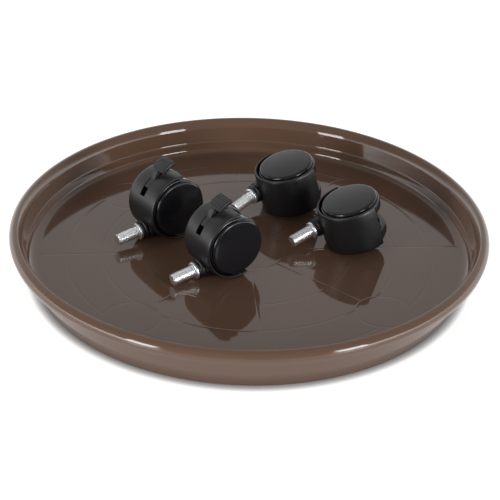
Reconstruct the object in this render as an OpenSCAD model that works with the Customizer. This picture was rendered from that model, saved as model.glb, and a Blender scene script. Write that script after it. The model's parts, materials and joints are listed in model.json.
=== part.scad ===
// Plant pot caddy: a round moulded dish that carries a pot on four twin-wheel casters.
// The casters are drawn taken off and lying in the dish, the way the set is shown.
// Origin: centre of the dish at the level of its bottom edge. +Z up, sizes in mm.
// Each caster is drawn in its own frame: X along the axle, Z up the stem, Y to the brake side.

/* [Dish] */
// Outside diameter over the rolled rim
dish_d = 320; // [310:1:340]
// Height of the rim above the ground
dish_h = 33.3; // [30:0.1:40]
// How far the bottom edge is set in from the outside of the rim
foot_set = 16; // [14:0.5:22]
// Level of the floor's top face
floor_top = 9.7; // [9.2:0.1:11]
// Thickness of the floor
floor_t = 2.7; // [2:0.1:3.2]
// Thickness of the dish wall
wall_t = 2.8; // [2.4:0.1:3.2]
// Radius of the rolled rim's outer curve
rim_r = 4.85; // [4:0.05:5.2]
// Width of the rolled rim, from its inner edge to the outside
rim_w = 8.8; // [8.2:0.1:9.4]
// Radial ribs under the floor
rib_n = 8; // [6:2:12]
// Thickness of the ribs under the floor
rib_t = 2.2; // [1.6:0.1:3]
// Height of the lower edge of the ribs above the ground
rib_low = 2.4; // [1.5:0.1:3.5]

/* [Caster sockets under the dish] */
// Diameter of the circle the sockets stand on
socket_pcd = 227; // [220:1:232]
// Outside diameter of the ring wall round a socket
ring_d = 38; // [34:1:40]
// Outside diameter of the socket post
post_d = 17; // [15:0.5:20]
// Outside diameter of the brass insert
insert_d = 11.6; // [10.5:0.1:12.5]
// Length of the brass insert
insert_l = 8; // [7:0.1:8.2]
// Core diameter of the insert's thread
insert_bore = 6.8; // [6.6:0.1:7.0]

/* [Wheels] */
// Diameter of a wheel over its tread
wheel_d = 40; // [38:0.5:40.4]
// Width of each tread
tread_w = 6.8; // [6:0.1:7]
// Distance from the middle of the caster to the inner face of a wheel
wheel_in = 6.3; // [6.2:0.05:6.5]
// How far the edge of the domed wheel face is set in from the tread
face_set = 1; // [0.8:0.1:2]
// How far the dome stands out past its rounded edge
dome_h = 0.9; // [0.4:0.1:1.6]
// Diameter of the axle
axle_d = 5; // [4:0.1:5.4]

/* [Hood] */
// Radius of the hood over its side rims
hood_r = 22.6; // [22.2:0.1:23]
// How far the crown stands out past the side rims
crown_h = 0.4; // [0.2:0.1:0.8]
// Width of the hood over its side rims
hood_w = 29.4; // [28:0.1:30.4]
// Thickness of the hood wall
hood_t = 1.5; // [1.2:0.1:1.5]
// Angle from the stem to the hood's end on the brake side
hood_end = 104; // [98:1:110]
// Angle from the stem to the hood's end on the other side
hood_tail = 103; // [98:1:108]
// Thickness of the plate between the wheels
web_t = 3; // [2:0.1:4]

/* [Swivel stem] */
// Distance from the axle's line to the stem's line
stem_off = 13.2; // [12.6:0.1:13.6]
// Outside diameter of the thread
thread_d = 8; // [7.8:0.1:8.2]
// Distance between two turns of the thread
thread_pitch = 1.25; // [1:0.05:1.5]
// Length from the collar to the tip
thread_len = 16; // [14:0.1:17]
// Height of the collar's upper face above the axle
collar_top = 27.4; // [27:0.1:28.5]
// Thickness of the collar
collar_t = 1.8; // [1.4:0.1:2]
// Diameter of the collar
collar_d = 11.4; // [10:0.1:12]
// Diameter of the shank that turns in the bush
shank_d = 7.7; // [7:0.1:7.8]
// Clearance round the shank
shank_gap = 0.08; // [0.04:0.01:0.1]

/* [Brake] */
// Half the width of the strip that lies in the hood's slot
strip_half = 2.15; // [1.8:0.05:2.2]
// Width of the finger tab
tab_w = 13.6; // [11:0.2:15]
// Number of grip ridges on the tab
ridge_n = 7; // [5:1:8]
// Radius of a grip ridge
ridge_r = 0.38; // [0.25:0.01:0.45]
// Radius of the brake pads
pad_r = 1.7; // [1.5:0.05:1.75]

/* [Hidden] */
$fn = 96;

// Where each caster lies: X, Y, height of the axle's middle over the floor, then three turns.
place_a = [-56.0, 24.2, 23.6, 94.7, -3.8, -52.8];
place_b = [-15.8, -24.2, 23.3, 97.5, -2.2, -55.5];
place_c = [27.9, 62.3, 19.7, 149.1, 75.9, 13.9];
place_d = [70.6, 11.5, 20.4, 157.3, 73.7, 9.4];

eps = 0.05;
seat = 0.04;
side_gap = 0.3;

// Dish, derived
dish_r = dish_d / 2;
foot_r = dish_r - foot_set;
step_z = floor_top + 0.2;
step_r = foot_r + 4;
rim_in = dish_r - rim_w;
wall_in = rim_in - 0.2;
roll_r = dish_r - rim_r;
roll_z = dish_h - rim_r;
roll_from = -35;
under_rim = dish_h - 8.7;
step_in_z = dish_h / 2 + 0.4;
step_in_r = wall_in - 1.8;
foot_in_z = floor_top + 1.6;
foot_in_r = step_in_r - 4;
floor_r = foot_in_r - 2.4;
floor_under = floor_top - floor_t;
ring_share = [0.1667, 0.4757, 0.6875, 0.8563];
ring_radii = [for (s = ring_share) s * foot_r];
ring_wall = 2;
rib_turn = 4.9;
socket_turn = 50;
socket_n = 4;
post_low = 0.4;
insert_top = post_low + insert_l;

// Caster, derived
wheel_r = wheel_d / 2;
face_r = wheel_r - face_set;
tread_in_r = wheel_r - 3.8;
tread_out = wheel_in + 0.2 + tread_w;
plate_in = tread_out - 1.8;
edge_out = tread_out + 1.9;
dome_out = edge_out + 0.6 + dome_h;
drum_r = 8.15;
edge_r = 1.7;
edge_from = -20;
edge_to = 80;
edge_z = edge_out - 1.1;
seat_slope = (face_r - edge_r + edge_r * cos(edge_from) - tread_in_r + seat)
  / (edge_z + edge_r * sin(edge_from) - plate_in);
axle_r = axle_d / 2;
axle_half = plate_in - 0.9;
axle_gap = 0.05;
snap_x = axle_half - 1.6;
hood_half = hood_w / 2;
hood_in = hood_r - hood_t;
web_r = 16;
boss_r = axle_r + 2.7;
boss_half = wheel_in - side_gap;
sock_r = 5.9;
sock_low = 3;
neck_r = 7.2;
neck_low = 12;
groove_out = 6.3;
neck_top = collar_top - collar_t - side_gap;
bush_r = 4.9;
bush_low = 8.2;
bush_in = shank_d / 2 + shank_gap;
shank_r = shank_d / 2;
groove_r = shank_r - 0.65;
clip_low = 6.65;
clip_t = 0.9;
thread_r = thread_d / 2;
thread_root = thread_r - 0.61 * thread_pitch;
tip_z = collar_top + thread_len;
nose_l = 0.6;
thread_from = collar_top + 0.8;
turns = floor((tip_z - nose_l - thread_from) / thread_pitch);

// Brake, derived: points are [height up the stem, distance to the brake side]
pivot = [8.5, 14.7];
bar_at = [1, 11];
pin_r = 1.5;
pin_gap = 0.06;
bar_r = 1;
slot_half = strip_half + 0.5;
slot_from = 31;
strip_from = 47.2;
strip_to = 66;
strip_r = hood_r + crown_h - 0.2;
strip_t = 1.9;
pocket_from = 10;
pocket_r = 7.3;
lug_from = slot_half + 0.1;
lug_to = wheel_in - 0.8;
tab_out = [[7.6, 24.4], [5.8, 25.9], [3.2, 28.1], [1.1, 29.2], [-0.9, 29.9], [-2.9, 30.4], [-4.8, 30.7]];
tab_in = [[-5.2, 28.3], [-3.3, 27.9], [-1.6, 27.4], [0.1, 26.7], [1.9, 25.8], [4, 24.4], [5.4, 23.4]];
tab_from = -0.6 - tab_w / 2;

function polar(r, a) = [r * cos(a), r * sin(a)];
function arc(cx, cy, r, a0, a1, n) =
  [for (i = [0 : n]) let (a = a0 + (a1 - a0) * i / n) [cx + r * cos(a), cy + r * sin(a)]];
function along(pts, t) =
  let (k = min(floor(t * (len(pts) - 1)), len(pts) - 2), f = t * (len(pts) - 1) - k)
  pts[k] * (1 - f) + pts[k + 1] * f;

// ---- Dish -------------------------------------------------------------

module dish_shell() {
  rotate_extrude($fn = 180)
    polygon(concat(
      [[0, floor_under], [foot_r - 6.5, floor_under], [foot_r - 3.4, floor_under - 2.4]],
      [[foot_r - 2.4, 0.4], [foot_r - 2, 0], [foot_r - 0.3, 0], [foot_r, 0.4]],
      [[step_r, step_z], [step_r + 0.8, step_z + 0.4]],
      [[wall_in + wall_t - 1, under_rim - 0.8], [wall_in + wall_t - 0.4, under_rim + 4.4]],
      [[wall_in + wall_t + 0.6, under_rim + 5.6], [dish_r - 3.9, under_rim + 5.6]],
      [[dish_r - 2.8, under_rim + 4.4], [dish_r - 2.6, under_rim + 0.2], [dish_r - 2, under_rim]],
      arc(roll_r, roll_z, rim_r, roll_from, 90, 14),
      [for (i = [1 : 10]) let (a = 90 + 9 * i) [roll_r + (roll_r - rim_in) * cos(a), roll_z + rim_r * sin(a)]],
      [[wall_in, roll_z - 0.2]],
      [[step_in_r + 0.2, step_in_z + 0.4], [step_in_r - 0.3, step_in_z - 0.2]],
      [[foot_in_r + 0.5, foot_in_z + 0.6], [foot_in_r - 0.2, foot_in_z - 0.2]],
      [[floor_r + 0.9, floor_top + 0.35], [floor_r, floor_top], [0, floor_top]]
    ));
}

module ring_wall(r_out, t, low, high) {
  translate([0, 0, low])
    difference() {
      cylinder(r = r_out, h = high - low);
      translate([0, 0, -eps])
        cylinder(r = r_out - t, h = high - low + 2 * eps);
    }
}

module at_sockets() {
  for (i = [0 : socket_n - 1])
    rotate([0, 0, socket_turn + 360 / socket_n * i])
      translate([socket_pcd / 2, 0, 0])
        children();
}

module underside() {
  into_floor = floor_under + floor_t / 2;
  difference() {
    union() {
      for (i = [0 : rib_n - 1])
        rotate([0, 0, rib_turn + 360 / rib_n * i])
          translate([ring_radii[0] - ring_wall / 2, -rib_t / 2, rib_low])
            cube([foot_r - 3.2 - ring_radii[0], rib_t, into_floor - rib_low]);
      for (r = ring_radii)
        ring_wall(r + ring_wall / 2, ring_wall, rib_low, into_floor);
    }
    at_sockets()
      translate([0, 0, -eps])
        cylinder(d = ring_d - ring_wall, h = floor_under + eps);
  }
  at_sockets() {
    ring_wall(ring_d / 2, ring_wall, 1, into_floor);
    translate([0, 0, post_low])
      cylinder(d = post_d, h = into_floor - post_low);
    for (a = [0 : 90 : 270])
      rotate([0, 0, a])
        translate([post_d / 2 - 1, -rib_t / 2, rib_low])
          cube([(ring_d - post_d) / 2, rib_t, into_floor - rib_low]);
  }
}

module tray() {
  color([0.36, 0.29, 0.24])
    difference() {
      union() {
        dish_shell();
        underside();
      }
      at_sockets()
        translate([0, 0, -eps])
          cylinder(d = insert_d + 2 * seat, h = insert_top + seat + eps);
    }
}

module inserts() {
  r = insert_d / 2;
  color([0.78, 0.62, 0.32])
    at_sockets()
      rotate_extrude()
        polygon([
          [insert_bore / 2 + 0.6, post_low], [r, post_low], [r, post_low + 2.6],
          [r - 0.6, post_low + 3], [r - 0.6, post_low + 3.8], [r, post_low + 4.2],
          [r, insert_top - 0.4], [r - 0.4, insert_top], [insert_bore / 2, insert_top],
          [insert_bore / 2, post_low + 0.6]
        ]);
}

// ---- Caster parts, each in the caster's own frame ----------------------

module lay(p) {
  translate([p[0], p[1], floor_top + p[2]])
    rotate([p[3], p[4], p[5]])
      children();
}

// Turns a drawing so that its Z runs along the axle and its X up the stem.
module about_axle() {
  rotate([0, -90, 0])
    children();
}

module on_stem() {
  translate([0, -stem_off, 0])
    children();
}

module crown() {
  n = 8;
  out = [for (i = [-n : n]) let (t = i / n) [hood_r + crown_h * (1 - pow(t, 4)), t * (hood_half - 0.5)]];
  in = [for (i = [n : -1 : -n]) let (t = i / n) [hood_in + crown_h * (1 - pow(t, 4)), t * (hood_half - 0.4)]];
  about_axle()
    rotate([0, 0, -hood_tail])
      rotate_extrude(angle = hood_tail + hood_end, $fn = 120)
        polygon(concat(
          [[hood_r - 0.4, -hood_half]], out, [[hood_r - 0.4, hood_half], [hood_in + 0.3, hood_half]],
          in, [[hood_in + 0.3, -hood_half]]
        ));
}

module web() {
  from = 2 - hood_tail;
  span = hood_end - 2 - from;
  about_axle()
    translate([0, 0, -web_t / 2])
      linear_extrude(web_t)
        intersection() {
          circle(r = hood_in + crown_h / 2 + 0.6);
          union() {
            circle(r = web_r);
            polygon(concat([[0, 0]], [for (i = [0 : 6]) polar(2 * hood_r, from + span * i / 6)]));
          }
        }
}

module neck() {
  difference() {
    on_stem()
      rotate_extrude()
        polygon([
          [0, neck_low], [neck_r, neck_low], [neck_r - 0.2, neck_top - 4.8], [groove_out, neck_top - 4.5],
          [groove_out, neck_top - 3.7], [neck_r - 0.5, neck_top - 3.4], [neck_r - 0.6, neck_top - 1.8],
          [sock_r, neck_top - 1.5], [sock_r, neck_top - 0.9], [sock_r + 0.3, neck_top - 0.6],
          [sock_r + 0.2, neck_top], [0, neck_top]
        ]);
    about_axle()
      translate([0, 0, -hood_half])
        cylinder(r = hood_in, h = hood_w);
  }
  on_stem()
    translate([0, 0, sock_low])
      cylinder(r = sock_r, h = neck_top - sock_low - 1);
}

module hood_bores() {
  on_stem()
    translate([0, 0, sock_low + 1])
      cylinder(r = bush_r + seat, h = neck_top);
  about_axle()
    translate([0, 0, -wheel_in])
      cylinder(r = axle_r + seat, h = 2 * wheel_in);
}

module hood_blank() {
  crown();
  web();
  neck();
  about_axle()
    translate([0, 0, -boss_half])
      cylinder(r = boss_r, h = 2 * boss_half);
}

module plain_hood() {
  color([0.1, 0.1, 0.11])
    difference() {
      hood_blank();
      hood_bores();
    }
}

// The pocket is narrow under the crown and breaks through it from slot_from on.
module lever_pocket() {
  last = hood_end + 12;
  under = hood_in - 0.8;
  about_axle()
    translate([0, 0, -slot_half])
      linear_extrude(2 * slot_half)
        polygon(concat(
          [for (i = [0 : 8]) polar(pocket_r, pocket_from + (last - pocket_from) * i / 8)],
          [for (a = [last, 80, 50, slot_from]) polar(2 * hood_r, a)],
          [for (i = [2 : -1 : 0]) polar(under, pocket_from + (slot_from - pocket_from) * i / 2)]
        ));
}

module lever_lugs() {
  turn = atan2(pivot[1], pivot[0]);
  reach = norm(pivot);
  about_axle()
    for (z = [-lug_to, lug_from])
      translate([0, 0, z])
        linear_extrude(lug_to - lug_from)
          rotate([0, 0, turn])
            difference() {
              union() {
                translate([reach, 0])
                  circle(r = 3);
                translate([reach, -3])
                  square([hood_in + 0.9 - reach, 6]);
              }
              translate([reach, 0])
                circle(r = pin_r + seat);
            }
}

module brake_hood() {
  color([0.1, 0.1, 0.11]) {
    difference() {
      hood_blank();
      hood_bores();
      lever_pocket();
    }
    lever_lugs();
  }
}

module axle() {
  about_axle()
    for (m = [0, 1])
      mirror([0, 0, m])
        rotate_extrude()
          polygon([
            [0, 0], [axle_r, 0], [axle_r, snap_x], [axle_r - 0.5, snap_x + 0.2], [axle_r - 0.5, snap_x + 0.9],
            [axle_r, snap_x + 1.1], [axle_r, axle_half - 0.3], [axle_r - 0.3, axle_half], [0, axle_half]
          ]);
}

module bush() {
  color([0.75, 0.75, 0.72])
    on_stem()
      translate([0, 0, bush_low])
        difference() {
          cylinder(r = bush_r, h = neck_top - bush_low);
          translate([0, 0, -eps])
            cylinder(r = bush_in, h = neck_top - bush_low + 2 * eps);
        }
}

module stem() {
  under = collar_top - collar_t;
  shank = [
    [0, clip_low - 1.6], [shank_r - 0.5, clip_low - 1.6], [shank_r, clip_low - 1.1],
    [shank_r, clip_low - 0.1], [groove_r, clip_low - 0.1], [groove_r, clip_low + clip_t + 0.1],
    [shank_r, clip_low + clip_t + 0.1], [shank_r, under]
  ];
  collar = [
    [collar_d / 2 - 0.3, under], [collar_d / 2, under + 0.3], [collar_d / 2, collar_top - 0.6],
    [collar_d / 2 - 0.5, collar_top], [thread_root, collar_top], [thread_root, thread_from]
  ];
  thread = [for (i = [0 : turns - 1], s = [0 : 2]) [
    [thread_root, thread_r, thread_r][s], thread_from + thread_pitch * (i + [0.08, 0.42, 0.58][s])
  ]];
  nose = [
    [thread_root, thread_from + thread_pitch * turns], [thread_root, tip_z - 0.4],
    [thread_root - 0.4, tip_z], [0, tip_z]
  ];
  color([0.86, 0.88, 0.9])
    on_stem()
      rotate_extrude($fn = 64)
        polygon(concat(shank, collar, thread, nose));
}

module clip() {
  color([0.4, 0.4, 0.42])
    on_stem()
      translate([0, 0, clip_low])
        rotate([0, 0, 20])
          rotate_extrude(angle = 320)
            translate([groove_r + seat, 0])
              square([4.5 - groove_r - seat, clip_t]);
}

// A wheel is drawn on the side where the axle's X is positive.
module wheel_side(side) {
  mirror([side < 0 ? 1 : 0, 0, 0])
    rotate([0, 90, 0])
      children();
}

// The domed face of a wheel, with a conical seat for the tread ring on its back.
module wheel(side) {
  edge = arc(face_r - edge_r, edge_z, edge_r, edge_from, edge_to, 8);
  dome = [for (i = [1 : 7]) let (t = 1 - i / 7) [t * (face_r - 2.4), dome_out - dome_h * t * t]];
  color([0.07, 0.07, 0.075])
    wheel_side(side)
      rotate_extrude($fn = 120)
        polygon(concat([[0, plate_in], [tread_in_r - seat, plate_in]], edge, dome));
}

// The wheel's hub: it snaps into the axle's groove, and its outside is the brake drum.
module hub(side) {
  bore = axle_r + axle_gap;
  lip = axle_r - 0.32;
  end = plate_in - seat;
  color([0.75, 0.75, 0.72])
    wheel_side(side)
      rotate_extrude()
        polygon([
          [0, end - 0.5], [bore, end - 0.5], [bore, snap_x + 0.75], [lip, snap_x + 0.6], [lip, snap_x + 0.5],
          [bore, snap_x + 0.35], [bore, wheel_in], [drum_r - 0.4, wheel_in], [drum_r, wheel_in + 0.4],
          [drum_r, end - 0.3], [drum_r - 0.3, end], [0, end]
        ]);
}

module tread(side) {
  from = wheel_in + 0.2;
  color([0.13, 0.13, 0.135])
    wheel_side(side)
      rotate_extrude($fn = 120)
        polygon([
          [tread_in_r, from], [wheel_r - 0.7, from], [wheel_r - 0.2, from + 0.3], [wheel_r, from + 0.9],
          [wheel_r, tread_out - 0.8], [wheel_r - 0.25, tread_out - 0.2], [wheel_r - 0.7, tread_out],
          [tread_in_r + seat_slope * (tread_out - plate_in), tread_out], [tread_in_r, plate_in]
        ]);
}

module lever_plate() {
  turn = atan2(pivot[1], pivot[0]);
  reach = norm(pivot);
  difference() {
    union() {
      // strip that closes the slot in the crown
      rotate([0, 0, strip_from])
        rotate_extrude(angle = strip_to - strip_from, $fn = 120)
          translate([strip_r - strip_t, -strip_half])
            square([strip_t, 2 * strip_half]);
      translate([0, 0, -strip_half])
        linear_extrude(2 * strip_half) {
          // post from the strip down to the pivot
          polygon([
            polar(strip_r - strip_t + 0.5, 53), polar(strip_r - 0.3, 60), polar(strip_r - 0.1, 65), tab_out[0],
            tab_out[1], tab_in[5], tab_in[6], polar(20.6, 71), polar(reach, 70), pivot, polar(reach + 0.6, 51)
          ]);
          translate(pivot)
            circle(r = 3);
          // arm from the pivot to the pads
          polygon([
            pivot + [-1.2, 2.6], bar_at + [-0.9, 1.8], bar_at + [0.9, -1.8], pivot + [1.2, -2.6]
          ]);
          translate(bar_at)
            circle(r = 2);
        }
    }
    translate([0, 0, -slot_half]) {
      translate(pivot)
        cylinder(r = pin_r + pin_gap, h = 2 * slot_half);
      translate(bar_at)
        cylinder(r = bar_r + seat, h = 2 * slot_half);
    }
  }
}

module lever() {
  color([0.09, 0.09, 0.1])
    about_axle() {
      lever_plate();
      translate([0, 0, tab_from])
        linear_extrude(tab_w)
          polygon(concat([for (i = [1 : len(tab_out) - 1]) tab_out[i]], [for (i = [0 : 5]) tab_in[i]]));
      for (i = [0 : ridge_n - 1])
        translate(along(tab_out, 0.26 + 0.7 * i / (ridge_n - 1)))
          translate([0, 0, tab_from + 0.4])
            cylinder(r = ridge_r, h = tab_w - 0.8, $fn = 24);
    }
}

module cross_pin(at, r, half) {
  about_axle()
    translate([at[0], at[1], -half])
      cylinder(r = r, h = 2 * half, $fn = 48);
}

module lever_pin() {
  color([0.62, 0.63, 0.65])
    cross_pin(pivot, pin_r, lug_to);
}

module brake_bar() {
  color([0.62, 0.63, 0.65])
    cross_pin(bar_at, bar_r, plate_in - 1.2);
}

module brake_pads() {
  color([0.2, 0.2, 0.2])
    for (side = [0, 1])
      mirror([side, 0, 0])
        about_axle()
          translate([bar_at[0], bar_at[1], strip_half + 0.3])
            difference() {
              cylinder(r = pad_r, h = plate_in - 1.4 - strip_half - 0.3, $fn = 48);
              translate([0, 0, -eps])
                cylinder(r = bar_r + seat, h = wheel_r, $fn = 48);
            }
}

module steel_axle() {
  color([0.7, 0.71, 0.73])
    axle();
}

// ---- One module for every piece ----------------------------------------

module hood_a() { lay(place_a) brake_hood(); }
module axle_a() { lay(place_a) steel_axle(); }
module bush_a() { lay(place_a) bush(); }
module stem_a() { lay(place_a) stem(); }
module clip_a() { lay(place_a) clip(); }
module wheel_a_left() { lay(place_a) wheel(-1); }
module hub_a_left() { lay(place_a) hub(-1); }
module tread_a_left() { lay(place_a) tread(-1); }
module wheel_a_right() { lay(place_a) wheel(1); }
module hub_a_right() { lay(place_a) hub(1); }
module tread_a_right() { lay(place_a) tread(1); }
module lever_a() { lay(place_a) lever(); }
module lever_pin_a() { lay(place_a) lever_pin(); }
module brake_bar_a() { lay(place_a) brake_bar(); }
module brake_pads_a() { lay(place_a) brake_pads(); }

module hood_b() { lay(place_b) brake_hood(); }
module axle_b() { lay(place_b) steel_axle(); }
module bush_b() { lay(place_b) bush(); }
module stem_b() { lay(place_b) stem(); }
module clip_b() { lay(place_b) clip(); }
module wheel_b_left() { lay(place_b) wheel(-1); }
module hub_b_left() { lay(place_b) hub(-1); }
module tread_b_left() { lay(place_b) tread(-1); }
module wheel_b_right() { lay(place_b) wheel(1); }
module hub_b_right() { lay(place_b) hub(1); }
module tread_b_right() { lay(place_b) tread(1); }
module lever_b() { lay(place_b) lever(); }
module lever_pin_b() { lay(place_b) lever_pin(); }
module brake_bar_b() { lay(place_b) brake_bar(); }
module brake_pads_b() { lay(place_b) brake_pads(); }

module hood_c() { lay(place_c) plain_hood(); }
module axle_c() { lay(place_c) steel_axle(); }
module bush_c() { lay(place_c) bush(); }
module stem_c() { lay(place_c) stem(); }
module clip_c() { lay(place_c) clip(); }
module wheel_c_left() { lay(place_c) wheel(-1); }
module hub_c_left() { lay(place_c) hub(-1); }
module tread_c_left() { lay(place_c) tread(-1); }
module wheel_c_right() { lay(place_c) wheel(1); }
module hub_c_right() { lay(place_c) hub(1); }
module tread_c_right() { lay(place_c) tread(1); }

module hood_d() { lay(place_d) plain_hood(); }
module axle_d() { lay(place_d) steel_axle(); }
module bush_d() { lay(place_d) bush(); }
module stem_d() { lay(place_d) stem(); }
module clip_d() { lay(place_d) clip(); }
module wheel_d_left() { lay(place_d) wheel(-1); }
module hub_d_left() { lay(place_d) hub(-1); }
module tread_d_left() { lay(place_d) tread(-1); }
module wheel_d_right() { lay(place_d) wheel(1); }
module hub_d_right() { lay(place_d) hub(1); }
module tread_d_right() { lay(place_d) tread(1); }

tray();
inserts();
hood_a();
axle_a();
bush_a();
stem_a();
clip_a();
wheel_a_left();
hub_a_left();
tread_a_left();
wheel_a_right();
hub_a_right();
tread_a_right();
lever_a();
lever_pin_a();
brake_bar_a();
brake_pads_a();
hood_b();
axle_b();
bush_b();
stem_b();
clip_b();
wheel_b_left();
hub_b_left();
tread_b_left();
wheel_b_right();
hub_b_right();
tread_b_right();
lever_b();
lever_pin_b();
brake_bar_b();
brake_pads_b();
hood_c();
axle_c();
bush_c();
stem_c();
clip_c();
wheel_c_left();
hub_c_left();
tread_c_left();
wheel_c_right();
hub_c_right();
tread_c_right();
hood_d();
axle_d();
bush_d();
stem_d();
clip_d();
wheel_d_left();
hub_d_left();
tread_d_left();
wheel_d_right();
hub_d_right();
tread_d_right();
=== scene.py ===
# %% [markdown]
# # A plant pot caddy, dressed for its portrait
#
# The object is a round plant dish of glossy brown plastic. Its four twin-wheel
# casters have been unscrewed and lie in it. The engineering model gives every
# piece its size and place. This lesson adds what the eye needs: smooth turned
# shapes, real screw threads, and finishes for plastic, zinc and rubber.
#
# Blender works in metres, with the dish standing on the floor at height zero.

# %% Open the engineering model
import json
import math

import bpy
from mathutils import Matrix, Vector


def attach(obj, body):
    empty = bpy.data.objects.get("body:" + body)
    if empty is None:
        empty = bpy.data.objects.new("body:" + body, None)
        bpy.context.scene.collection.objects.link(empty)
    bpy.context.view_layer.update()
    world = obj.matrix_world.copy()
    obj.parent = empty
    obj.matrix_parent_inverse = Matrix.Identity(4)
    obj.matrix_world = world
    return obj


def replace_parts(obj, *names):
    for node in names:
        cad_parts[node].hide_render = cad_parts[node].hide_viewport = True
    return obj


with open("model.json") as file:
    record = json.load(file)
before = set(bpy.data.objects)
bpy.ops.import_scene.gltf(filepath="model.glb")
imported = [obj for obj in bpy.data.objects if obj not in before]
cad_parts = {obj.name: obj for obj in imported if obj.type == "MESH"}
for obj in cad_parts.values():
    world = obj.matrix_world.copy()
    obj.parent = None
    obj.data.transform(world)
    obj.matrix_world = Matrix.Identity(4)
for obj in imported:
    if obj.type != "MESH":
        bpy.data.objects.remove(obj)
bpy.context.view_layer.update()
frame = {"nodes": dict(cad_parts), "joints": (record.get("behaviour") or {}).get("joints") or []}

MM = 0.001
nodes = frame["nodes"]
print("pieces in the model:", len(nodes))

# %% [markdown]
# ## The camera
#
# A catalogue camera stands about a metre away, looks down at 31 degrees and has
# a long lens, so the ellipse of the rim keeps its calm shape. It is turned by
# a matrix instead of a constraint, because the small pan, tilt and roll of a
# hand-levelled tripod are then plain numbers.

# %% Camera
CAMERA_FAR = 1.100
CAMERA_UP = math.radians(31.069)
CAMERA_PAN = math.radians(0.035)
CAMERA_TILT = math.radians(0.45)
CAMERA_ROLL = math.radians(1.307)
CAMERA_LENS, CAMERA_SENSOR = 116.404, 36


def swing(first, second, angle):
    """Turns two axes that stand square to each other, in their own plane."""
    c, s = math.cos(angle), math.sin(angle)
    return first * c + second * s, second * c - first * s


def camera_turn():
    back = Vector((0, -math.cos(CAMERA_UP), math.sin(CAMERA_UP)))
    ahead = -back
    right = ahead.cross(Vector((0, 0, 1))).normalized()
    up = right.cross(ahead)
    ahead, right = swing(ahead, right, CAMERA_PAN)
    ahead, up = swing(ahead, up, CAMERA_TILT)
    right, up = swing(right, up, CAMERA_ROLL)
    place = back * CAMERA_FAR
    return Matrix([
        (right.x, up.x, -ahead.x, place.x),
        (right.y, up.y, -ahead.y, place.y),
        (right.z, up.z, -ahead.z, place.z),
        (0, 0, 0, 1),
    ])


lens = bpy.data.cameras.new("catalogue_lens")
lens.lens = CAMERA_LENS
lens.sensor_width = CAMERA_SENSOR
camera = bpy.data.objects.new("catalogue_camera", lens)
camera.matrix_world = camera_turn()
bpy.context.scene.collection.objects.link(camera)
bpy.context.scene.camera = camera
print("camera at", [round(v, 3) for v in camera.location])

# %% [markdown]
# ## Small tools for building materials
#
# Every finish below is a little graph of nodes. A few helpers keep the graphs
# readable. They start a material, join sockets, do sums, map one range onto
# another, and lay on noise, fine bumps and a blend of two tones.

# %% Material helpers
def start_material(name):
    material = bpy.data.materials.new(name)
    material.use_nodes = True
    graph = material.node_tree
    shader = graph.nodes["Principled BSDF"]
    place = graph.nodes.new("ShaderNodeTexCoord")
    return material, graph, shader, place.outputs["Object"]


def join(graph, out, target):
    graph.links.new(out, target)


def maths(graph, operation, first, second=None, third=None):
    node = graph.nodes.new("ShaderNodeMath")
    node.operation = operation
    for slot, value in enumerate((first, second, third)):
        if value is None:
            continue
        if isinstance(value, (int, float)):
            node.inputs[slot].default_value = value
        else:
            join(graph, value, node.inputs[slot])
    return node.outputs[0]


def noise(graph, place, scale, detail=2.0, rough=0.5):
    node = graph.nodes.new("ShaderNodeTexNoise")
    node.inputs["Scale"].default_value = scale
    node.inputs["Detail"].default_value = detail
    node.inputs["Roughness"].default_value = rough
    join(graph, place, node.inputs["Vector"])
    return node.outputs["Fac"]


def rescale(graph, value, start, end, low=0.0, high=1.0, kind="LINEAR"):
    """Maps start to end onto low to high; SMOOTHSTEP eases both ends."""
    node = graph.nodes.new("ShaderNodeMapRange")
    node.interpolation_type = kind
    node.inputs["From Min"].default_value = start
    node.inputs["From Max"].default_value = end
    node.inputs["To Min"].default_value = low
    node.inputs["To Max"].default_value = high
    join(graph, value, node.inputs["Value"])
    return node.outputs["Result"]


def uneven_gloss(graph, shader, pattern, low, high):
    """Noise lies mostly between 0.3 and 0.7, so that is what gets spread."""
    join(graph, rescale(graph, pattern, 0.3, 0.7, low, high), shader.inputs["Roughness"])


def bump(graph, shader, height, depth, before=None):
    node = graph.nodes.new("ShaderNodeBump")
    node.inputs["Strength"].default_value = 1.0
    node.inputs["Distance"].default_value = depth
    join(graph, height, node.inputs["Height"])
    if before is not None:
        join(graph, before, node.inputs["Normal"])
    join(graph, node.outputs["Normal"], shader.inputs["Normal"])
    return node.outputs["Normal"]


def two_tone(graph, shader, factor, first, second):
    node = graph.nodes.new("ShaderNodeMix")
    node.data_type = "RGBA"
    node.inputs["A"].default_value = (*first, 1)
    node.inputs["B"].default_value = (*second, 1)
    join(graph, factor, node.inputs["Factor"])
    join(graph, node.outputs["Result"], shader.inputs["Base Color"])


# %% [markdown]
# ## Glossy brown plastic
#
# The dish is injection moulded in polypropylene against a polished steel tool,
# so it mirrors its surroundings sharply. Real mouldings are never optically
# flat: wide shallow waves run through the floor, and over each rib underneath
# the surface sinks a few hundredths of a millimetre. The sums below measure how
# far a point of the floor is from the nearest ring, spoke or socket ring, and
# the nearest one makes a shallow groove in the bump. Within a socket ring there
# are no rings or spokes, so there they are moved far off.

# %% Sink marks over the ribs
RING_RADII = (24, 68.5, 99, 123.3)
SPOKE_TURN = math.radians(4.9)
SOCKET_FAR = 113.5
SOCKET_TURN = math.radians(50)
SOCKET_RING = 18
FLOOR_TOP = 9.7
FAR_OFF = 50


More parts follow.
